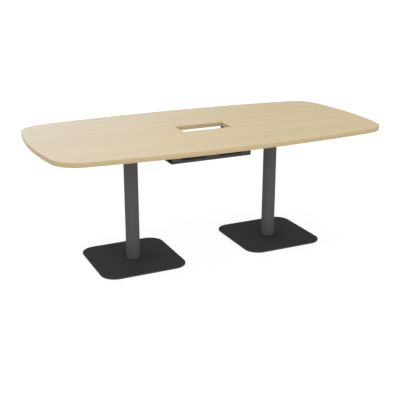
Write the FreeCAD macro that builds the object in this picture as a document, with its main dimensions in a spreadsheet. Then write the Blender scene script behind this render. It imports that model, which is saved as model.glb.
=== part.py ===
"""Barrel-topped meeting table: a banded board with a cable cut-out, a slotted cable tray under it,
and two round columns on square floor plates with levelling feet.

The origin is on the floor under the middle of the top. X runs along the table and Z points up.
"""
import FreeCAD, Part
import math
import os
from types import SimpleNamespace

import Sketcher

# Driving sizes in millimetres: name, value, meaning
SIZES = [
    ("table_height", 740, "floor to worktop"),
    ("top_length", 2000, "top, end to end over the middle of the bowed ends"),
    ("top_width", 1000, "top, side to side over the middle of the bowed sides"),
    ("top_thickness", 25, "board and bands"),
    ("side_radius", 7000, "bow of the long sides"),
    ("end_radius", 1800, "bow of the ends"),
    ("corner_radius", 150, "corners between sides and ends"),
    ("band_thickness", 2, "edge bands"),
    ("band_round", 1.5, "rounded arris of the edge bands"),
    ("glue_line", 0.1, "between the board and what is glued to it"),
    ("cutout_length", 300, "clear opening along the table"),
    ("cutout_width", 140, "clear opening across the table"),
    ("cutout_corner", 8, "corner radius of the clear opening"),
    ("column_spacing", 894, "between the columns' axes"),
    ("column_diameter", 80, "outside of the tubes"),
    ("column_wall", 2, "wall of the tubes"),
    ("plug_thickness", 12, "tapped discs in the tubes' ends"),
    ("weld_gap", 0.1, "between a disc and its tube, all round"),
    ("base_side", 500, "floor plates, side to side"),
    ("base_thickness", 8, "floor plates"),
    ("base_corner", 86, "corner radius of the floor plates"),
    ("base_round", 1.5, "rounded arris of the floor plates"),
    ("spider_length", 560, "cross bracket, across the table"),
    ("spider_width", 320, "cross bracket, along the table"),
    ("spider_arm", 60, "width of the bracket's arms"),
    ("spider_hub", 150, "diameter of the bracket's middle"),
    ("spider_thickness", 5, "plate of the bracket"),
    ("spider_corner", 20, "corner radius of the arms' ends"),
    ("spider_fillet", 12, "where an arm meets the hub"),
    ("arm_hole_inset", 22, "arm's end to its screws"),
    ("arm_hole_spread", 32, "between the two screws of an arm"),
    ("bolt_circle", 50, "countersunk bolts round a column's axis"),
    ("bolt_diameter", 8, "countersunk bolts"),
    ("bolt_head", 16, "head of the countersunk bolts"),
    ("bolt_socket", 5, "hexagon socket, across flats"),
    ("bolt_socket_depth", 2.5, "hexagon socket"),
    ("bolt_reach", 10, "thread inside a column's disc"),
    ("bolt_clearance", 0.5, "round a bolt in a plate's hole"),
    ("seat_gap", 0.15, "round a countersunk head in its seat"),
    ("thread_gap", 0.05, "round a thread in its tapped hole"),
    ("screw_diameter", 6, "bracket screws"),
    ("screw_head", 12, "head of the bracket screws"),
    ("screw_head_height", 3.5, "head of the bracket screws"),
    ("screw_socket", 4, "hexagon socket, across flats"),
    ("screw_socket_depth", 2.2, "hexagon socket"),
    ("screw_reach", 10, "thread inside an insert"),
    ("screw_clearance", 0.5, "round a screw in a sheet's or plate's hole"),
    ("insert_diameter", 10, "threaded inserts"),
    ("insert_length", 13, "threaded inserts"),
    ("tray_length", 496, "cable tray, along the table"),
    ("tray_width", 243, "cable tray, outside its walls"),
    ("tray_depth", 141, "board's underside to the tray's underside"),
    ("tray_sheet", 1.5, "sheet of the tray"),
    ("tray_bend", 1.5, "inside radius of the tray's bends"),
    ("tray_wall", 60, "height of the tray's slotted walls"),
    ("hanger_width", 75, "hangers at the tray's four corners"),
    ("hanger_flange", 26, "screwed flange of a hanger"),
    ("hanger_fillet", 10, "where a hanger rises from its wall"),
    ("slot_length", 147, "cable slots"),
    ("slot_height", 26, "cable slots"),
    ("slot_rise", 17, "tray's underside to a slot"),
    ("slot_web", 80, "between the two slots of a wall"),
    ("slot_corner", 5, "corner radius of the slots"),
    ("tray_hole_spread", 44, "between the two screws of a flange"),
    ("tray_screw_diameter", 4, "tray screws"),
    ("tray_screw_head", 9, "head of the tray screws"),
    ("tray_screw_head_height", 2.8, "head of the tray screws"),
    ("tray_screw_socket", 2.5, "hexagon socket, across flats"),
    ("tray_screw_socket_depth", 1.7, "hexagon socket"),
    ("tray_screw_reach", 14, "tray screw inside the board"),
    ("head_bevel", 0.8, "bevelled rim of the raised heads"),
    ("blind_spare", 1, "room past a screw's or insert's end in its blind hole"),
    ("foot_inset", 60, "floor plate's edge to a levelling foot's axis"),
    ("pad_diameter", 32, "floor pads"),
    ("pad_height", 6, "floor pads, which also hold the floor plates up"),
    ("pad_bevel", 0.8, "rim of the floor pads"),
    ("pad_floor", 1.5, "pad under the stud's flange"),
    ("pad_key_hole", 5, "hole for the hexagon key from below"),
    ("stud_diameter", 8, "thread of the levelling studs"),
    ("stud_reach", 6, "thread inside the floor plate when screwed right in"),
    ("stud_spare", 0.5, "room above the stud in its blind hole"),
    ("stud_flange", 13, "flange of a stud inside its pad"),
    ("stud_flange_height", 2, "flange of a stud"),
    ("stud_socket", 4, "hexagon socket, across flats"),
    ("stud_socket_depth", 3, "hexagon socket"),
    ("swivel_gap", 0.1, "round a stud inside its pad"),
]

doc = FreeCAD.newDocument("meeting_table")
sheet = doc.addObject("Spreadsheet::Sheet", "sizes")
for row, (name, value, meaning) in enumerate(SIZES, 1):
    sheet.set(f"A{row}", name)
    sheet.set(f"B{row}", str(value))
    sheet.set(f"C{row}", meaning)
    sheet.setAlias(f"B{row}", name)
doc.recompute()


class Size:
    """A length worked out from the sheet: its expression, and its value now."""

    def __init__(self, text, value):
        self.text = text
        self.value = value

    def __add__(self, other):
        return Size(f"({self.text} + {other.text})", self.value + other.value)

    def __sub__(self, other):
        return Size(f"({self.text} - {other.text})", self.value - other.value)

    def __mul__(self, factor):
        return Size(f"({self.text} * ({factor:.12g}))", self.value * factor)

    def __truediv__(self, divisor):
        return Size(f"({self.text} / {divisor})", self.value / divisor)

    def __neg__(self):
        return self * -1

    def at_most(self, other):
        return Size(f"min({self.text}; {other.text})", min(self.value, other.value))


dim = SimpleNamespace(**{row[0]: Size(f"sizes.{row[0]}", float(sheet.get(row[0]))) for row in SIZES})
ZERO = Size("0", 0.0)

# Levels above the floor
underside = dim.table_height - dim.top_thickness
base_top = dim.pad_height + dim.base_thickness
column_top = underside - dim.spider_thickness

# The largest share of its thickness that a rounded arris may take: a band has one to a face, a plate two
BAND_ROUND_LIMIT = 0.9
PLATE_ROUND_LIMIT = 0.4

# Each pedestal's name and the side of the middle that it stands on
SIDES = (("left", -1), ("right", 1))


# Lengths nearer than this are taken to be the same
SAME = 1e-4


def near(one, other):
    return abs(one - other) < SAME


# Sketches

def new_body(label, x=ZERO, y=ZERO, z=ZERO):
    body = doc.addObject("PartDesign::Body", label)
    body.Label = label
    for axis, place in (("x", x), ("y", y), ("z", z)):
        body.setExpression(f"Placement.Base.{axis}", place.text)
    return body


def new_sketch(body, name, role, lift=ZERO):
    """A sketch on one of the body's origin planes, lifted along the plane's normal."""
    plane = next(item for item in body.Origin.OriginFeatures if item.Role == role)
    sketch = body.newObject("Sketcher::SketchObject", f"{body.Name}_{name}")
    sketch.AttachmentSupport = [(plane, "")]
    sketch.MapMode = "FlatFace"
    sketch.setExpression("AttachmentOffset.Base.z", lift.text)
    return sketch


def bind(sketch, constraint, size):
    index = sketch.addConstraint(constraint)
    sketch.setExpression(f"Constraints[{index}]", size.text)


def pin(sketch, curve, point, x, y):
    """Holds a point of a curve at x, y from the sketch's origin."""
    for kind, axis, along in (("DistanceX", -2, x), ("DistanceY", -1, y)):
        if near(along.value, 0):
            sketch.addConstraint(Sketcher.Constraint("PointOnObject", curve, point, axis))
        elif along.value > 0:
            bind(sketch, Sketcher.Constraint(kind, -1, 1, curve, point, along.value), along)
        else:
            bind(sketch, Sketcher.Constraint(kind, curve, point, -1, 1, -along.value), -along)


def circle(sketch, x, y, diameter):
    centre = FreeCAD.Vector(x.value, y.value, 0)
    curve = sketch.addGeometry(Part.Circle(centre, FreeCAD.Vector(0, 0, 1), diameter.value / 2))
    pin(sketch, curve, 3, x, y)
    bind(sketch, Sketcher.Constraint("Diameter", curve, diameter.value), diameter)


def polygon(sketch, corners):
    points = [FreeCAD.Vector(x.value, y.value, 0) for x, y in corners]
    ends = points[1:] + points[:1]
    lines = sketch.addGeometry([Part.LineSegment(start, end) for start, end in zip(points, ends)])
    for line, following, (x, y) in zip(lines, lines[1:] + lines[:1], corners):
        sketch.addConstraint(Sketcher.Constraint("Coincident", line, 2, following, 1))
        pin(sketch, line, 1, x, y)


def arc(x, y, radius, start, end):
    ring = Part.Circle(FreeCAD.Vector(x, y, 0), FreeCAD.Vector(0, 0, 1), radius)
    return Part.ArcOfCircle(ring, start, end)


def smooth_loop(sketch, curves):
    """Adds curves that run on into each other, and returns their numbers."""
    numbers = sketch.addGeometry(curves)
    for curve, following in zip(numbers, numbers[1:] + numbers[:1]):
        sketch.addConstraint(Sketcher.Constraint("Tangent", curve, 2, following, 1))
    return numbers


def rounded_rectangle(sketch, width, height, radius, x=ZERO, y=ZERO):
    reach_x = width / 2 - radius
    reach_y = height / 2 - radius
    centres = [(x + reach_x * across, y + reach_y * up)
               for across, up in ((1, 1), (-1, 1), (-1, -1), (1, -1))]
    corners = [arc(cx.value, cy.value, radius.value, quarter * math.pi / 2, (quarter + 1) * math.pi / 2)
               for quarter, (cx, cy) in enumerate(centres)]
    curves = []
    for corner, following in zip(corners, corners[1:] + corners[:1]):
        curves += [corner, Part.LineSegment(corner.EndPoint, following.StartPoint)]
    numbers = smooth_loop(sketch, curves)
    for number, (cx, cy) in zip(numbers[::2], centres):
        pin(sketch, number, 3, cx, cy)
        bind(sketch, Sketcher.Constraint("Radius", number, radius.value), radius)


def barrel(sketch, inset):
    """The top's outline, set in all round: bowed ends and sides with corner arcs that run into both."""
    end = dim.end_radius - inset
    side = dim.side_radius - inset
    corner = dim.corner_radius - inset
    end_back = dim.end_radius - dim.top_length / 2
    side_back = dim.side_radius - dim.top_width / 2

    # First guess of a corner's centre, which lies on a circle about an end's centre and one about a side's
    from_end = end.value - corner.value
    from_side = side.value - corner.value
    apart = math.hypot(end_back.value, side_back.value)
    along = (from_end ** 2 - from_side ** 2 + apart ** 2) / (2 * apart)
    off = math.sqrt(from_end ** 2 - along ** 2)
    turn = math.atan2(-side_back.value, end_back.value) + math.atan2(off, along)
    cx = from_end * math.cos(turn) - end_back.value
    cy = from_end * math.sin(turn)
    low = turn
    high = math.atan2(cy + side_back.value, cx)

    half = math.pi
    numbers = smooth_loop(sketch, [
        arc(-end_back.value, 0, end.value, -low, low),
        arc(cx, cy, corner.value, low, high),
        arc(0, -side_back.value, side.value, high, half - high),
        arc(-cx, cy, corner.value, half - high, half - low),
        arc(end_back.value, 0, end.value, half - low, half + low),
        arc(-cx, -cy, corner.value, half + low, half + high),
        arc(0, side_back.value, side.value, half + high, 2 * half - high),
        arc(cx, -cy, corner.value, 2 * half - high, 2 * half - low),
    ])
    centres = {0: (-end_back, ZERO), 2: (ZERO, -side_back), 4: (end_back, ZERO), 6: (ZERO, side_back)}
    for place, radius in enumerate((end, corner, side, corner) * 2):
        bind(sketch, Sketcher.Constraint("Radius", numbers[place], radius.value), radius)
        if place in centres:
            pin(sketch, numbers[place], 3, *centres[place])


def hexagon(sketch, across_flats):
    radius = across_flats / math.sqrt(3)
    turns = [corner * math.pi / 3 for corner in range(6)]
    polygon(sketch, [(radius * math.cos(turn), radius * math.sin(turn)) for turn in turns])


# Features

def pad(body, sketch, length, symmetric=False):
    feature = body.newObject("PartDesign::Pad", f"{sketch.Name}_pad")
    feature.Profile = sketch
    feature.setExpression("Length", length.text)
    feature.SideType = "Symmetric" if symmetric else "One side"
    doc.recompute()


def removed(feature, before):
    """Stops the build where a cut has missed its solid."""
    doc.recompute()
    if not feature.Shape.Volume < before:
        raise RuntimeError(f"{feature.Name} cut nothing")


def pocket(body, sketch, depth=None, upward=False):
    """Cuts a sketch to a depth, or right through both ways where no depth is given."""
    before = body.Tip.Shape.Volume
    feature = body.newObject("PartDesign::Pocket", f"{sketch.Name}_pocket")
    feature.Profile = sketch
    if depth is None:
        feature.Type = "ThroughAll"
        feature.SideType = "Symmetric"
    else:
        feature.setExpression("Length", depth.text)
        feature.Reversed = upward
    removed(feature, before)


def countersink(body, sketch, upward=False):
    """Bolt holes right through, with a seat for the head on the sketch's side."""
    before = body.Tip.Shape.Volume
    doc.recompute()
    feature = body.newObject("PartDesign::Hole", f"{sketch.Name}_hole")
    feature.Profile = sketch
    feature.DepthType = "ThroughAll"
    feature.Reversed = upward
    feature.HoleCutType = "Countersink"
    feature.HoleCutCustomValues = True
    feature.HoleCutCountersinkAngle = 90
    feature.setExpression("Diameter", (dim.bolt_diameter + dim.bolt_clearance * 2).text)
    feature.setExpression("HoleCutDiameter", (dim.bolt_head + dim.seat_gap * 2).text)
    removed(feature, before)


def revolve(body, sketch):
    feature = body.newObject("PartDesign::Revolution", f"{sketch.Name}_turn")
    feature.Profile = sketch
    feature.ReferenceAxis = (sketch, ["V_Axis"])
    feature.Angle = 360
    doc.recompute()


def round_edges(body, name, radius, picked):
    base = body.Tip
    feature = body.newObject("PartDesign::Fillet", f"{body.Name}_{name}")
    feature.Base = (base, [f"Edge{n}" for n, edge in enumerate(base.Shape.Edges, 1) if picked(edge)])
    feature.setExpression("Radius", radius.text)
    doc.recompute()


def flat_at(*levels):
    """Picks the edges that lie at one of these heights in their body."""
    def picked(edge):
        low, high = edge.BoundBox.ZMin, edge.BoundBox.ZMax
        return near(low, high) and any(near(low, level.value) for level in levels)
    return picked


# Places of the fasteners, each from its own pattern's middle

def bolt_places():
    reach = dim.bolt_circle / 2
    return [(reach * x, reach * y) for x, y in ((1, 0), (0, 1), (-1, 0), (0, -1))]


def arm_places():
    across = dim.arm_hole_spread / 2
    out_y = dim.spider_length / 2 - dim.arm_hole_inset
    out_x = dim.spider_width / 2 - dim.arm_hole_inset
    places = []
    for end in (1, -1):
        for side in (1, -1):
            places += [(across * side, out_y * end), (out_x * end, across * side)]
    return places


def flange_places():
    middle = dim.tray_length / 2 - dim.hanger_width / 2
    out_y = dim.tray_width / 2 + dim.hanger_flange / 2
    return [(middle * end + dim.tray_hole_spread / 2 * side, out_y * wall)
            for end in (1, -1) for side in (1, -1) for wall in (1, -1)]


def foot_places():
    reach = dim.base_side / 2 - dim.foot_inset
    return [(reach * x, reach * y) for x, y in ((-1, -1), (1, -1), (1, 1), (-1, 1))]


def circles(sketch, places, diameter, x=ZERO):
    for place_x, place_y in places:
        circle(sketch, x + place_x, place_y, diameter)


def column_x(side):
    return dim.column_spacing / 2 * side


# The top

def top_panel():
    body = new_body("top_panel", z=underside)
    inset = dim.band_thickness + dim.glue_line
    outline = new_sketch(body, "outline", "XY_Plane")
    barrel(outline, inset)
    rounded_rectangle(outline, dim.cutout_length + inset * 2, dim.cutout_width + inset * 2,
                      dim.cutout_corner + inset)
    pad(body, outline, dim.top_thickness)
    insert_holes = new_sketch(body, "insert_holes", "XY_Plane")
    for _, side in SIDES:
        circles(insert_holes, arm_places(), dim.insert_diameter + dim.glue_line * 2, column_x(side))
    pocket(body, insert_holes, dim.insert_length + dim.blind_spare, upward=True)
    tray_holes = new_sketch(body, "tray_holes", "XY_Plane")
    circles(tray_holes, flange_places(), dim.tray_screw_diameter + dim.thread_gap * 2)
    pocket(body, tray_holes, dim.tray_screw_reach + dim.blind_spare, upward=True)
    return body


def outer_edge_band():
    body = new_body("outer_edge_band", z=underside)
    outline = new_sketch(body, "outline", "XY_Plane")
    barrel(outline, ZERO)
    barrel(outline, dim.band_thickness)
    pad(body, outline, dim.top_thickness)
    level = flat_at(ZERO, dim.top_thickness)
    radii = (dim.side_radius.value, dim.end_radius.value, dim.corner_radius.value)

    def outside(edge):
        return level(edge) and any(near(edge.Curve.Radius, radius) for radius in radii)
    round_edges(body, "arris", dim.band_round.at_most(dim.band_thickness * BAND_ROUND_LIMIT), outside)
    return body


def cutout_edge_band():
    body = new_body("cutout_edge_band", z=underside)
    ring = new_sketch(body, "ring", "XY_Plane")
    wall = dim.band_thickness * 2
    rounded_rectangle(ring, dim.cutout_length, dim.cutout_width, dim.cutout_corner)
    rounded_rectangle(ring, dim.cutout_length + wall, dim.cutout_width + wall,
                      dim.cutout_corner + dim.band_thickness)
    pad(body, ring, dim.top_thickness)
    level = flat_at(ZERO, dim.top_thickness)
    clear_x = (dim.cutout_length + dim.band_thickness).value / 2
    clear_y = (dim.cutout_width + dim.band_thickness).value / 2

    def inside(edge):
        box = edge.BoundBox
        return level(edge) and max(-box.XMin, box.XMax) < clear_x and max(-box.YMin, box.YMax) < clear_y
    round_edges(body, "arris", dim.band_round.at_most(dim.band_thickness * BAND_ROUND_LIMIT), inside)
    return body


# The cable tray

def cable_tray():
    body = new_body("cable_tray", z=underside)
    wall = dim.tray_width / 2
    inner = wall - dim.tray_sheet
    tip = wall + dim.hanger_flange
    floor = -dim.tray_depth
    inner_floor = floor + dim.tray_sheet
    under_flange = -dim.tray_sheet
    half = [(tip, ZERO), (inner, ZERO), (inner, inner_floor)]
    other_half = [(wall, floor), (wall, under_flange), (tip, under_flange)]
    section = new_sketch(body, "section", "YZ_Plane")
    polygon(section, half + [(-y, z) for y, z in reversed(half)]
            + [(-y, z) for y, z in reversed(other_half)] + other_half)
    pad(body, section, dim.tray_length, symmetric=True)

    def fold(*lines):
        def picked(edge):
            middle = edge.CenterOfMass
            lengthwise = near(edge.BoundBox.XLength, dim.tray_length.value)
            return lengthwise and any(near(abs(middle.y), y.value) and near(middle.z, z.value)
                                      for y, z in lines)
        return picked
    round_edges(body, "outer_bends", dim.tray_bend + dim.tray_sheet, fold((wall, floor), (inner, ZERO)))
    round_edges(body, "inner_bends", dim.tray_bend, fold((inner, inner_floor), (wall, under_flange)))

    between_hangers = new_sketch(body, "between_hangers", "XZ_Plane")
    gap_low = floor + dim.tray_wall
    gap_high = dim.hanger_fillet + dim.tray_sheet
    rounded_rectangle(between_hangers, dim.tray_length - dim.hanger_width * 2, gap_high - gap_low,
                      dim.hanger_fillet, y=(gap_low + gap_high) / 2)
    pocket(body, between_hangers)

    slots = new_sketch(body, "slots", "XZ_Plane")
    slot_x = (dim.slot_web + dim.slot_length) / 2
    slot_z = floor + dim.slot_rise + dim.slot_height / 2
    for side in (1, -1):
        rounded_rectangle(slots, dim.slot_length, dim.slot_height, dim.slot_corner, slot_x * side, slot_z)
    pocket(body, slots)

    screw_holes = new_sketch(body, "screw_holes", "XY_Plane")
    circles(screw_holes, flange_places(), dim.tray_screw_diameter + dim.screw_clearance * 2)
    pocket(body, screw_holes, dim.tray_sheet)
    return body


# The pedestals

def base_plate(name, side):
    body = new_body(f"{name}_base_plate", x=column_x(side), z=dim.pad_height)
    outline = new_sketch(body, "outline", "XY_Plane")
    rounded_rectangle(outline, dim.base_side, dim.base_side, dim.base_corner)
    pad(body, outline, dim.base_thickness)
    round_edges(body, "arris", dim.base_round.at_most(dim.base_thickness * PLATE_ROUND_LIMIT),
                flat_at(ZERO, dim.base_thickness))
    bolt_holes = new_sketch(body, "bolt_holes", "XY_Plane")
    circles(bolt_holes, bolt_places(), dim.bolt_diameter)
    countersink(body, bolt_holes, upward=True)
    stud_holes = new_sketch(body, "stud_holes", "XY_Plane")
    circles(stud_holes, foot_places(), dim.stud_diameter + dim.thread_gap * 2)
    pocket(body, stud_holes, dim.stud_reach + dim.stud_spare, upward=True)
    return body


def column_tube(name, side):
    body = new_body(f"{name}_column_tube", x=column_x(side), z=base_top)
    ring = new_sketch(body, "ring", "XY_Plane")
    circle(ring, ZERO, ZERO, dim.column_diameter)
    circle(ring, ZERO, ZERO, dim.column_diameter - dim.column_wall * 2)
    pad(body, ring, column_top - base_top)
    return body


def column_plug(label, side, level):
    body = new_body(label, x=column_x(side), z=level)
    disc = new_sketch(body, "disc", "XY_Plane")
    circle(disc, ZERO, ZERO, dim.column_diameter - (dim.column_wall + dim.weld_gap) * 2)
    circles(disc, bolt_places(), dim.bolt_diameter + dim.thread_gap * 2)
    pad(body, disc, dim.plug_thickness)
    return body


def top_spider(name, side):
    body = new_body(f"{name}_top_spider", x=column_x(side), z=column_top)
    hub = new_sketch(body, "hub", "XY_Plane")
    circle(hub, ZERO, ZERO, dim.spider_hub)
    pad(body, hub, dim.spider_thickness)
    for arm_name, along_x, along_y in (("cross_arm", dim.spider_arm, dim.spider_length),
                                       ("long_arm", dim.spider_width, dim.spider_arm)):
        arm = new_sketch(body, arm_name, "XY_Plane")
        rounded_rectangle(arm, along_x, along_y, dim.spider_corner)
        pad(body, arm, dim.spider_thickness)
    hub_radius = dim.spider_hub.value / 2

    def junction(edge):
        middle = edge.CenterOfMass
        return near(edge.BoundBox.ZLength, edge.Length) and near(math.hypot(middle.x, middle.y), hub_radius)
    round_edges(body, "junctions", dim.spider_fillet, junction)
    bolt_holes = new_sketch(body, "bolt_holes", "XY_Plane", dim.spider_thickness)
    circles(bolt_holes, bolt_places(), dim.bolt_diameter)
    countersink(body, bolt_holes)
    screw_holes = new_sketch(body, "screw_holes", "XY_Plane")
    circles(screw_holes, arm_places(), dim.screw_diameter + dim.screw_clearance * 2)
    pocket(body, screw_holes, dim.spider_thickness, upward=True)
    return body


# Fasteners, each modelled once about the Z axis with its thread pointing up

def socket(body, across_flats, depth, level=ZERO):
    sketch = new_sketch(body, "socket", "XY_Plane", level)
    hexagon(sketch, across_flats)
    pocket(body, sketch, depth, upward=True)


def countersunk_bolt(label, length):
    """The head's flat face is at zero."""
    body = new_body(label)
    profile = new_sketch(body, "profile", "XZ_Plane")
    head = dim.bolt_head / 2
    thread = dim.bolt_diameter / 2
    polygon(profile, [(ZERO, ZERO), (head, ZERO), (thread, head - thread), (thread, length), (ZERO, length)])
    revolve(body, profile)
    socket(body, dim.bolt_socket, dim.bolt_socket_depth)
    return body


def headed_screw(label, diameter, head_diameter, head_height, across_flats, socket_depth, length):
    """The head hangs below zero and the thread rises above it."""
    body = new_body(label)
    profile = new_sketch(body, "profile", "XZ_Plane")
    head = head_diameter / 2
    thread = diameter / 2
    bottom = -head_height
    polygon(profile, [(ZERO, bottom), (head - dim.head_bevel, bottom), (head, bottom + dim.head_bevel),
                      (head, ZERO), (thread, ZERO), (thread, length), (ZERO, length)])
    revolve(body, profile)
    socket(body, across_flats, socket_depth, bottom)
    return body


def threaded_insert(label):
    body = new_body(label)
    ring = new_sketch(body, "ring", "XY_Plane")
    circle(ring, ZERO, ZERO, dim.insert_diameter)
    circle(ring, ZERO, ZERO, dim.screw_diameter + dim.thread_gap * 2)
    pad(body, ring, dim.insert_length)
    return body


def group(label, piece, places, x, z, pointing_down=False):
    """Copies of one fastener at each place of a pattern, as one sub-part."""
    turn = FreeCAD.Rotation(FreeCAD.Vector(1, 0, 0), 180 if pointing_down else 0)
    copies = []
    for place_x, place_y in places:
        copy = piece.Shape.copy()
        copy.Placement = FreeCAD.Placement(FreeCAD.Vector(place_x.value, place_y.value, 0), turn)
        copies.append(copy)
    node = doc.addObject("Part::Feature", label)
    node.Label = label
    node.Shape = Part.makeCompound(copies)
    node.Placement.Base = FreeCAD.Vector(x.value, 0, z.value)
    return node


# The levelling feet

def glide_pad(label, x, y):
    """A floor pad with a snap-in seat for its stud's flange and a key hole from below."""
    body = new_body(label, x=x, y=y)
    rim = dim.pad_diameter / 2
    bevel = dim.pad_bevel
    key = dim.pad_key_hole / 2
    seat = dim.stud_flange / 2 + dim.swivel_gap
    mouth = dim.stud_diameter / 2 + dim.swivel_gap
    seat_top = dim.pad_floor + dim.stud_flange_height + dim.swivel_gap
    profile = new_sketch(body, "profile", "XZ_Plane")
    polygon(profile, [(key, ZERO), (rim - bevel, ZERO), (rim, bevel), (rim, dim.pad_height - bevel),
                      (rim - bevel, dim.pad_height), (mouth, dim.pad_height), (mouth, seat_top),
                      (seat, seat_top), (seat, dim.pad_floor), (key, dim.pad_floor)])
    revolve(body, profile)
    return body


def glide_stud(label, x, y):
    """A threaded stud whose flange sits on the pad's floor."""
    body = new_body(label, x=x, y=y, z=dim.pad_floor)
    flange = dim.stud_flange / 2
    thread = dim.stud_diameter / 2
    tip = dim.pad_height - dim.pad_floor + dim.stud_reach
    profile = new_sketch(body, "profile", "XZ_Plane")
    polygon(profile, [(ZERO, ZERO), (flange, ZERO), (flange, dim.stud_flange_height),
                      (thread, dim.stud_flange_height), (thread, tip), (ZERO, tip)])
    revolve(body, profile)
    socket(body, dim.stud_socket, dim.stud_socket_depth)
    return body


# Building

nodes = [top_panel(), outer_edge_band(), cutout_edge_band(), cable_tray()]

base_bolt = countersunk_bolt("base_bolt", dim.base_thickness + dim.bolt_reach)
head_bolt = countersunk_bolt("head_bolt", dim.spider_thickness + dim.bolt_reach)
bracket_screw = headed_screw("bracket_screw", dim.screw_diameter, dim.screw_head, dim.screw_head_height,
                             dim.screw_socket, dim.screw_socket_depth,
                             dim.spider_thickness + dim.screw_reach)
tray_screw = headed_screw("tray_screw", dim.tray_screw_diameter, dim.tray_screw_head,
                          dim.tray_screw_head_height, dim.tray_screw_socket, dim.tray_screw_socket_depth,
                          dim.tray_sheet + dim.tray_screw_reach)
insert = threaded_insert("insert")
nodes.append(group("tray_screws", tray_screw, flange_places(), ZERO, underside - dim.tray_sheet))

for name, side in SIDES:
    x = column_x(side)
    nodes += [
        base_plate(name, side),
        column_tube(name, side),
        column_plug(f"{name}_column_foot_plug", side, base_top),
        column_plug(f"{name}_column_head_plug", side, column_top - dim.plug_thickness),
        top_spider(name, side),
        group(f"{name}_base_screws", base_bolt, bolt_places(), x, dim.pad_height),
        group(f"{name}_head_screws", head_bolt, bolt_places(), x, underside, pointing_down=True),
        group(f"{name}_top_screws", bracket_screw, arm_places(), x, column_top),
        group(f"{name}_top_inserts", insert, arm_places(), x, underside),
    ]
    for number, (foot_x, foot_y) in enumerate(foot_places(), 1):
        nodes.append(glide_pad(f"{name}_glide_pad_{number}", x + foot_x, foot_y))
        nodes.append(glide_stud(f"{name}_glide_stud_{number}", x + foot_x, foot_y))

doc.recompute()
for item in doc.Objects:
    if {"Invalid", "Error"} & set(item.State):
        raise RuntimeError(f"{item.Label} failed: {item.State}")
for node in nodes:
    if node.Shape.isNull() or not node.Shape.isValid():
        raise RuntimeError(f"{node.Label} has no valid shape")

os.makedirs("parts", exist_ok=True)
for node in nodes:
    node.Shape.exportStep(f"parts/{node.Label}.step")
    print(node.Label, len(node.Shape.Solids), round(node.Shape.Volume, 1))
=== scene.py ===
# Looks of the meeting table: procedural materials on the CAD nodes, a plain studio and the camera.
import math

import bpy
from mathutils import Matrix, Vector


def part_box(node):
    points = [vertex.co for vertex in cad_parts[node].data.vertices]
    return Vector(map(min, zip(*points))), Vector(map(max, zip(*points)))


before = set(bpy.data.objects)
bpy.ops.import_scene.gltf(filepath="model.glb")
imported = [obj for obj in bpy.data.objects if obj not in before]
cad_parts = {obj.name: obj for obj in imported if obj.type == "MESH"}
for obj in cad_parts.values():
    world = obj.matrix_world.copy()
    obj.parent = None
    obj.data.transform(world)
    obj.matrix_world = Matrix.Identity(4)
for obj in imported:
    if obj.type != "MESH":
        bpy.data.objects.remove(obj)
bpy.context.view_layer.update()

MM = 0.001

# The photograph's view, found from the outlines of the top, columns and base plates. Angles are in degrees.
CAMERA_PLACE = (-1.7790, -3.7644, 1.6958)
CAMERA_TILT = 71.4235
CAMERA_HEADING = -25.045
CAMERA_LENS = 66.772
SENSOR_WIDTH = 36.0
VIEW_DEPTH = 300.0

# Base colours, linear.
MAPLE_LIGHT = (0.710, 0.552, 0.285)
MAPLE_DARK = (0.600, 0.453, 0.213)
MAPLE_PORE = (0.480, 0.345, 0.150)
EDGE_LIGHT = (0.535, 0.419, 0.229)
EDGE_DARK = (0.432, 0.331, 0.169)
COLUMN_PAINT = (0.0951, 0.0965, 0.0991)
# Painted shade: the plates' paint is the columns' graphite paint made darker and a little cooler.
PLATE_PAINT_SHADED = (0.0607, 0.0627, 0.0660)
# Painted shade: the tray's paint is the columns' graphite paint made darker.
TRAY_PAINT_SHADED = (0.0759, 0.0768, 0.0788)
STEEL_LIGHT = (0.56, 0.55, 0.53)
STEEL_DARK = (0.44, 0.43, 0.42)
ZINC_LIGHT = (0.64, 0.65, 0.67)
ZINC_DARK = (0.50, 0.51, 0.54)
BRASS_LIGHT = (0.74, 0.56, 0.26)
BRASS_DARK = (0.60, 0.44, 0.19)
NYLON_LIGHT = (0.028, 0.028, 0.029)
NYLON_DARK = (0.016, 0.016, 0.017)
BLACK = (0, 0, 0)
WHITE = (1, 1, 1)

# The range that most values of a noise are in.
NOISE_LOW = 0.3
NOISE_HIGH = 0.7

# The cosine between a piece's rounded and flat normals where a face ends, and where an arris is full.
FACE_COSINE = 0.98
ARRIS_COSINE = 0.80

# Painted light: the colour of the band in the cut-out, as a multiple of the outer band's, lighter than the
# same maple edge.
CUTOUT_PAINTED_LIGHT = 1.25

# Powder coat: how far its speckles are from its colour, the radius of its arrises and their colour as a
# multiple of the coat's, how deep its orange peel is, and how far its roughness varies.
SPECKLE_CONTRAST = 0.18
ARRIS_RADIUS = 1.5 * MM
ARRIS_LIGHTNESS = 2.2
PEEL_DEPTH = 0.4 * MM
ROUGHNESS_SPREAD = 0.08

# Painted shade: how much darker the paint is made in the creases of the column feet, and how far out that
# reaches.
CREASE_SHADE_DEPTH = 0.25
CREASE_SHADE_REACH = 50 * MM

# Painted shade inside the tray: half the width outside the tray's walls, the part of its sheet's
# thickness that counts as outside, the height where the painted shade ends, and the colour's share on its
# floor.
TRAY_HALF_WIDTH = 121.5 * MM
TRAY_SKIN = 1 * MM
HOLLOW_SHADE_HEIGHT = 80 * MM
HOLLOW_SHADE_SHARE = 0.52

# Floor: its half width, its glow near the table and far from it, the distances between which that changes,
# its grey where it is seen, and its grey for the light that it throws back.
FLOOR_HALF = 60.0
FLOOR_GLOW_NEAR = 0.90
FLOOR_GLOW_FAR = 1.0
FLOOR_NEAR = 1.2
FLOOR_FAR = 3.5
FLOOR_SEEN = 0.20
FLOOR_BOUNCE = 0.80

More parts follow.
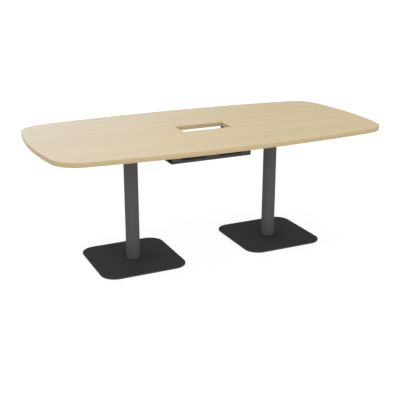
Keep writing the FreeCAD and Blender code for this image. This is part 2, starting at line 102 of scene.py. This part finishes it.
# Soft fill from all round, the point that most lamps face, and the width and height of the low lamps.
WORLD_FILL = 0.18
TABLE_MIDDLE = (0, 0, 0.45)
STRIP = (4.0, 1.5)

# The card that shows in the gloss of the top: its colour, and its strength at its two sides.
CARD_COLOUR = (0.48, 0.62, 1.0)
CARD_WEAK = 0.1
CARD_STRONG = 3.4


def scaled(colour, factor):
    return tuple(factor * part for part in colour)


# Shader helpers

class Shader:
    """Nodes of one material. Inputs are plain values, or sockets, which are linked."""

    def __init__(self, name):
        self.material = bpy.data.materials.new(name)
        self.material.use_nodes = True
        self.tree = self.material.node_tree
        self.tree.nodes.clear()

    def add(self, kind, inputs=None, output=0, **settings):
        node = self.tree.nodes.new(kind)
        for key, value in settings.items():
            setattr(node, key, value)
        for key, value in (inputs or {}).items():
            socket = node.inputs[key]
            if isinstance(value, bpy.types.NodeSocket):
                self.tree.links.new(value, socket)
            elif socket.type == "RGBA":
                socket.default_value = (*value, 1)
            else:
                socket.default_value = value
        return node.outputs[output]

    def surface(self, shader):
        output = self.tree.nodes.new("ShaderNodeOutputMaterial")
        self.tree.links.new(shader, output.inputs["Surface"])
        return self.material

    def principled(self, **inputs):
        named = {}
        for key, value in inputs.items():
            named[key.replace("_", " ").title().replace("Ior", "IOR")] = value
        return self.surface(self.add("ShaderNodeBsdfPrincipled", named))

    def place(self, scale=(1, 1, 1)):
        """The point in the row frame, stretched."""
        point = self.add("ShaderNodeTexCoord", output="Object")
        return self.add("ShaderNodeMapping", {"Vector": point, "Scale": scale})

    def axis(self, name):
        """The point's X, Y or Z in the row frame."""
        return self.add("ShaderNodeSeparateXYZ", {0: self.place()}, output=name)

    def noise(self, scale, detail=2.0, roughness=0.5, distortion=0.0):
        """Noise with about this many features per metre along x, y and z."""
        return self.add("ShaderNodeTexNoise", {
            "Vector": self.place(scale), "Scale": 1.0, "Detail": detail, "Roughness": roughness,
            "Distortion": distortion}, output="Fac")

    def fit(self, value, low, high, to_low=0.0, to_high=1.0):
        return self.add("ShaderNodeMapRange", {
            "Value": value, "From Min": low, "From Max": high, "To Min": to_low, "To Max": to_high})

    def spread(self, noise, to_low=0.0, to_high=1.0):
        """Noise, spread over a range."""
        return self.fit(noise, NOISE_LOW, NOISE_HIGH, to_low, to_high)

    def math(self, operation, first, second=0.0):
        return self.add("ShaderNodeMath", {0: first, 1: second}, operation=operation)

    def length(self, first, second):
        flat = self.add("ShaderNodeCombineXYZ", {0: first, 1: second})
        return self.add("ShaderNodeVectorMath", {0: flat}, output="Value", operation="LENGTH")

    def blend(self, *shares):
        """Sum of values, each given with its share."""
        total = None
        for value, share in shares:
            part = self.math("MULTIPLY", value, share)
            total = part if total is None else self.math("ADD", total, part)
        return total

    def mix(self, factor, first, second):
        return self.add("ShaderNodeMix", {0: factor, 6: first, 7: second}, output=2, data_type="RGBA")

    def bump(self, height, strength, distance):
        return self.add("ShaderNodeBump", {"Height": height, "Strength": strength, "Distance": distance},
                        output="Normal")

    def arrises(self, radius):
        """1 along the edges of a piece, 0 on its faces."""
        soft = self.add("ShaderNodeBevel", {"Radius": radius}, samples=4)
        flat = self.add("ShaderNodeNewGeometry", output="Normal")
        cosine = self.add("ShaderNodeVectorMath", {0: soft, 1: flat}, output="Value", operation="DOT_PRODUCT")
        return self.fit(cosine, FACE_COSINE, ARRIS_COSINE)

    def column_crease_shade(self):
        """Painted shade: 1 away from the creases where the columns meet their plates, and less near them."""
        column_low, column_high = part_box("right_column_tube")
        radius = (column_high[0] - column_low[0]) / 2
        sideways = self.math("SUBTRACT", self.math("ABSOLUTE", self.axis("X")), column_low[0] + radius)
        outwards = self.math("SUBTRACT", self.length(sideways, self.axis("Y")), radius)
        upwards = self.math("SUBTRACT", self.axis("Z"), column_low[2])
        away = self.length(outwards, upwards)
        fall = self.math("EXPONENT", self.math("MULTIPLY", away, -1 / CREASE_SHADE_REACH))
        return self.math("SUBTRACT", 1.0, self.math("MULTIPLY", fall, CREASE_SHADE_DEPTH))

    def tray_hollow_shade(self):
        """Painted shade: 1 on the tray's outer faces and hangers, and less between its walls, down to its
        floor.
        """
        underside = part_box("cable_tray")[0][2]
        height = self.axis("Z")
        between = self.math("LESS_THAN", self.math("ABSOLUTE", self.axis("Y")), TRAY_HALF_WIDTH - TRAY_SKIN)
        above = self.math("GREATER_THAN", height, underside + TRAY_SKIN)
        inside = self.math("MULTIPLY", between, above)
        deep = self.fit(height, underside, underside + HOLLOW_SHADE_HEIGHT, 1.0, 0.0)
        return self.fit(self.math("MULTIPLY", inside, deep), 0.0, 1.0, 1.0, HOLLOW_SHADE_SHARE)


# Materials

def maple_board():
    """Satin melamine board with a straight, faint maple grain along the table."""
    shader = Shader("maple_board")
    wander = shader.noise((1.2, 3.0, 3.0), detail=1.0)
    bands = shader.noise((0.55, 16, 16), distortion=0.25)
    streaks = shader.noise((1.8, 150, 150), detail=3.0, distortion=0.15)
    fibres = shader.noise((22, 1300, 1300), detail=3.0, roughness=0.6)
    pores = shader.noise((45, 700, 700), detail=1.0)
    grain = shader.blend((bands, 0.36), (streaks, 0.34), (fibres, 0.28), (wander, 0.08))
    wood = shader.mix(shader.fit(grain, 0.39, 0.68), MAPLE_DARK, MAPLE_LIGHT)
    # Pores show only at the peaks of their noise, and are let into the surface.
    colour = shader.mix(shader.fit(pores, 0.64, 0.76, 0.0, 0.6), wood, MAPLE_PORE)
    relief = shader.blend((fibres, 1.0), (pores, -0.8))
    return shader.principled(
        base_color=colour,
        roughness=shader.spread(streaks, 0.36, 0.44),
        normal=shader.bump(relief, strength=0.08, distance=0.1 * MM),
        specular_ior_level=0.5)


def edge_band(name, lightness):
    """Maple edge band: streaks run round the table, and painted shade darkens it towards its lower arris."""
    shader = Shader(name)
    low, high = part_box("outer_edge_band")
    streaks = shader.noise((3, 3, 420), detail=3.0)
    fibres = shader.noise((26, 26, 1900))
    # Painted shade: the band's colour is lighter at its top and darker towards its foot.
    rise = shader.fit(shader.axis("Z"), low[2], high[2])
    grain = shader.blend((streaks, 0.42), (fibres, 0.26), (rise, 0.32))
    dark = scaled(EDGE_DARK, lightness)
    light = scaled(EDGE_LIGHT, lightness)
    return shader.principled(
        base_color=shader.mix(shader.spread(grain), dark, light),
        roughness=shader.spread(fibres, 0.40, 0.50),
        normal=shader.bump(fibres, strength=0.05, distance=0.1 * MM),
        specular_ior_level=0.4)


def powder_coat(name, colour, rough, gloss, peel_strength, shade):
    """Powder coat: orange peel, fine speckle, faint clouds and lighter paint on the arrises."""
    shader = Shader(name)
    clouds = shader.noise((5, 5, 5))
    speckle = shader.noise((1300, 1300, 1300), detail=1.0)
    peel = shader.noise((620, 620, 620))
    grain = shader.spread(shader.blend((clouds, 0.15), (speckle, 0.85)))
    paint = shader.mix(grain, scaled(colour, 1 - SPECKLE_CONTRAST), scaled(colour, 1 + SPECKLE_CONTRAST))
    # Painted shade: the paint is mixed towards black where shade() is below 1.
    coat = shader.mix(shade(shader), BLACK, paint)
    lighter_arris = shader.math("MULTIPLY", shader.arrises(ARRIS_RADIUS), shader.spread(clouds, 0.25, 0.65))
    return shader.principled(
        base_color=shader.mix(lighter_arris, coat, scaled(colour, ARRIS_LIGHTNESS)),
        roughness=shader.spread(peel, rough - ROUGHNESS_SPREAD, rough + ROUGHNESS_SPREAD),
        normal=shader.bump(peel, peel_strength, PEEL_DEPTH),
        specular_ior_level=gloss)


def metal(name, light, dark, rough_low, rough_high):
    """Machined or plated metal with fine turning marks and soft stains."""
    shader = Shader(name)
    stains = shader.noise((90, 90, 90), detail=3.0)
    marks = shader.noise((300, 300, 4200))
    return shader.principled(
        base_color=shader.mix(shader.spread(stains), dark, light),
        metallic=1.0,
        roughness=shader.spread(marks, rough_low, rough_high),
        normal=shader.bump(marks, strength=0.08, distance=0.05 * MM))


def black_nylon():
    """Moulded nylon with a fine spark texture."""
    shader = Shader("black_nylon")
    spark = shader.noise((1800, 1800, 1800))
    scuffs = shader.noise((120, 120, 120), detail=4.0)
    return shader.principled(
        base_color=shader.mix(shader.fit(scuffs, 0.4, 0.7), NYLON_DARK, NYLON_LIGHT),
        roughness=shader.spread(spark, 0.48, 0.64),
        normal=shader.bump(spark, strength=0.15, distance=0.1 * MM),
        specular_ior_level=0.4)


def dress_nodes():
    """Gives every CAD node the material of its slot in model.glb, or its own variant of it."""
    by_slot = {
        "maple_board": maple_board(),
        "maple_edge": edge_band("maple_edge", 1.0),
        "graphite_paint": powder_coat(
            "graphite_paint", COLUMN_PAINT, rough=0.47, gloss=0.03, peel_strength=0.30,
            shade=Shader.column_crease_shade),
        "raw_steel": metal("raw_steel", STEEL_LIGHT, STEEL_DARK, rough_low=0.30, rough_high=0.45),
        "zinc_plate": metal("zinc_plate", ZINC_LIGHT, ZINC_DARK, rough_low=0.28, rough_high=0.42),
        "brass_insert": metal("brass_insert", BRASS_LIGHT, BRASS_DARK, rough_low=0.26, rough_high=0.40),
        "black_nylon": black_nylon(),
    }
    # Painted shade: the plates get a darker copy of the graphite paint.
    plate = powder_coat(
        "plate_paint_shaded", PLATE_PAINT_SHADED, rough=0.75, gloss=0.02, peel_strength=0.50, shade=Shader.column_crease_shade)
    # Painted shade: the tray gets a darker copy of the graphite paint.
    tray = powder_coat(
        "tray_paint_shaded", TRAY_PAINT_SHADED, rough=0.70, gloss=0.02, peel_strength=0.35, shade=Shader.tray_hollow_shade)
    own = {
        "left_base_plate": plate,
        "right_base_plate": plate,
        "cable_tray": tray,
        # Painted light: a lighter copy of the maple edge for the band in the cut-out.
        "cutout_edge_band": edge_band("cutout_edge", CUTOUT_PAINTED_LIGHT),
    }
    for name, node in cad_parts.items():
        for slot in node.material_slots:
            slot.material = own.get(name) or by_slot[slot.material.name.split(".")[0]]


# Studio

def seen_rays(tree):
    """1 for rays that show the background itself: camera, glossy and transmission."""
    path = tree.nodes.new("ShaderNodeLightPath")
    seen = path.outputs["Is Camera Ray"]
    for kind in ("Is Glossy Ray", "Is Transmission Ray"):
        either = tree.nodes.new("ShaderNodeMath")
        either.operation = "MAXIMUM"
        tree.links.new(seen, either.inputs[0])
        tree.links.new(path.outputs[kind], either.inputs[1])
        seen = either.outputs[0]
    return seen


def white_world():
    """White where it is seen, and a soft fill for the object."""
    world = bpy.data.worlds.new("studio")
    bpy.context.scene.world = world
    world.use_nodes = True
    tree = world.node_tree
    background = tree.nodes["Background"]
    background.inputs["Color"].default_value = (*WHITE, 1)
    strength = tree.nodes.new("ShaderNodeMapRange")
    tree.links.new(seen_rays(tree), strength.inputs["Value"])
    strength.inputs["To Min"].default_value = WORLD_FILL
    strength.inputs["To Max"].default_value = 1.0
    tree.links.new(strength.outputs[0], background.inputs["Strength"])


def floor_material():
    """Pale floor that is seen as white, with the table's shadow on it."""
    shader = Shader("studio_floor")
    away = shader.add("ShaderNodeVectorMath", {0: shader.place()}, output="Value", operation="LENGTH")
    glow = shader.fit(away, FLOOR_NEAR, FLOOR_FAR, FLOOR_GLOW_NEAR, FLOOR_GLOW_FAR)
    emission = shader.add("ShaderNodeEmission", {"Color": WHITE, "Strength": glow})
    seen = shader.add("ShaderNodeBsdfDiffuse", {"Color": scaled(WHITE, FLOOR_SEEN)})
    bounce = shader.add("ShaderNodeBsdfDiffuse", {"Color": scaled(WHITE, FLOOR_BOUNCE)})
    both = shader.add("ShaderNodeAddShader", {0: emission, 1: seen})
    rays = seen_rays(shader.tree)
    return shader.surface(shader.add("ShaderNodeMixShader", {0: rays, 1: bounce, 2: both}))


def floor():
    mesh = bpy.data.meshes.new("floor")
    corners = [(FLOOR_HALF * x, FLOOR_HALF * y, 0) for x, y in ((-1, -1), (1, -1), (1, 1), (-1, 1))]
    mesh.from_pydata(corners, [], [(0, 1, 2, 3)])
    mesh.materials.append(floor_material())
    plane = bpy.data.objects.new("floor", mesh)
    bpy.context.scene.collection.objects.link(plane)


def softbox(name, place, aim, size, radiance, colour=WHITE, diffuse=True, glossy=True):
    """Soft lamp, which may light surfaces, show in their gloss, or both."""
    width, height = size
    lamp = bpy.data.lights.new(name, "AREA")
    lamp.shape = "RECTANGLE"
    lamp.size = width
    lamp.size_y = height
    lamp.color = colour
    lamp.energy = radiance * math.pi * width * height
    holder = bpy.data.objects.new(name, lamp)
    holder.location = place
    holder.rotation_euler = (Vector(aim) - Vector(place)).to_track_quat("-Z", "Y").to_euler()
    holder.visible_camera = False
    holder.visible_diffuse = diffuse
    holder.visible_glossy = glossy
    bpy.context.scene.collection.objects.link(holder)
    return lamp


def fade_across(lamp, weak, strong):
    """Fades a softbox from one side to the other."""
    lamp.use_nodes = True
    tree = lamp.node_tree
    across = tree.nodes.new("ShaderNodeSeparateXYZ")
    place = tree.nodes.new("ShaderNodeNewGeometry")
    tree.links.new(place.outputs["Parametric"], across.inputs[0])
    level = tree.nodes.new("ShaderNodeMapRange")
    tree.links.new(across.outputs["X"], level.inputs["Value"])
    level.inputs["To Min"].default_value = weak
    level.inputs["To Max"].default_value = strong
    tree.links.new(level.outputs[0], tree.nodes["Emission"].inputs["Strength"])


def lights():
    """Soft lamps above and round the table, and a cool card behind it that only shows in gloss."""
    softbox("overhead", (0, 0, 4.6), (0, 0, 0), (4.0, 3.0), radiance=2.0)
    softbox("left_high", (-2.6, -0.6, 5.2), TABLE_MIDDLE, (2.5, 3.0), radiance=1.2)
    softbox("front_high", (-1.5, -5.0, 3.6), TABLE_MIDDLE, (5.0, 2.0), radiance=3.8)
    softbox("front", (1.2, -6.0, 0.85), TABLE_MIDDLE, STRIP, radiance=4.4)
    softbox("front_right", (4.2, -4.6, 0.85), TABLE_MIDDLE, STRIP, radiance=2.0)
    softbox("front_left", (-4.6, -4.2, 0.85), TABLE_MIDDLE, STRIP, radiance=1.2)
    softbox("left", (-6.0, -1.0, 0.85), TABLE_MIDDLE, STRIP, radiance=2.4)
    softbox("left_back", (-10.4, 6.0, 1.6), TABLE_MIDDLE, (8.0, 3.0), radiance=3.6, glossy=False)
    softbox("right", (6.0, 1.2, 0.85), TABLE_MIDDLE, STRIP, radiance=0.8, glossy=False)
    softbox("back", (0.0, 6.5, 0.85), TABLE_MIDDLE, (6.0, 1.5), radiance=3.2, glossy=False)
    card = softbox("cool_card", (0, 7, 3), (0, 0, 0.74), (8.0, 3.0), radiance=1.0,
                   colour=CARD_COLOUR, diffuse=False)
    fade_across(card, CARD_WEAK, CARD_STRONG)


def camera():
    data = bpy.data.cameras.new("camera")
    data.lens = CAMERA_LENS
    data.sensor_width = SENSOR_WIDTH
    data.clip_end = VIEW_DEPTH
    holder = bpy.data.objects.new("camera", data)
    holder.location = CAMERA_PLACE
    holder.rotation_euler = (math.radians(CAMERA_TILT), 0, math.radians(CAMERA_HEADING))
    bpy.context.scene.collection.objects.link(holder)
    bpy.context.scene.camera = holder


dress_nodes()
white_world()
floor()
lights()
camera()
bpy.context.scene.view_settings.view_transform = "Standard"
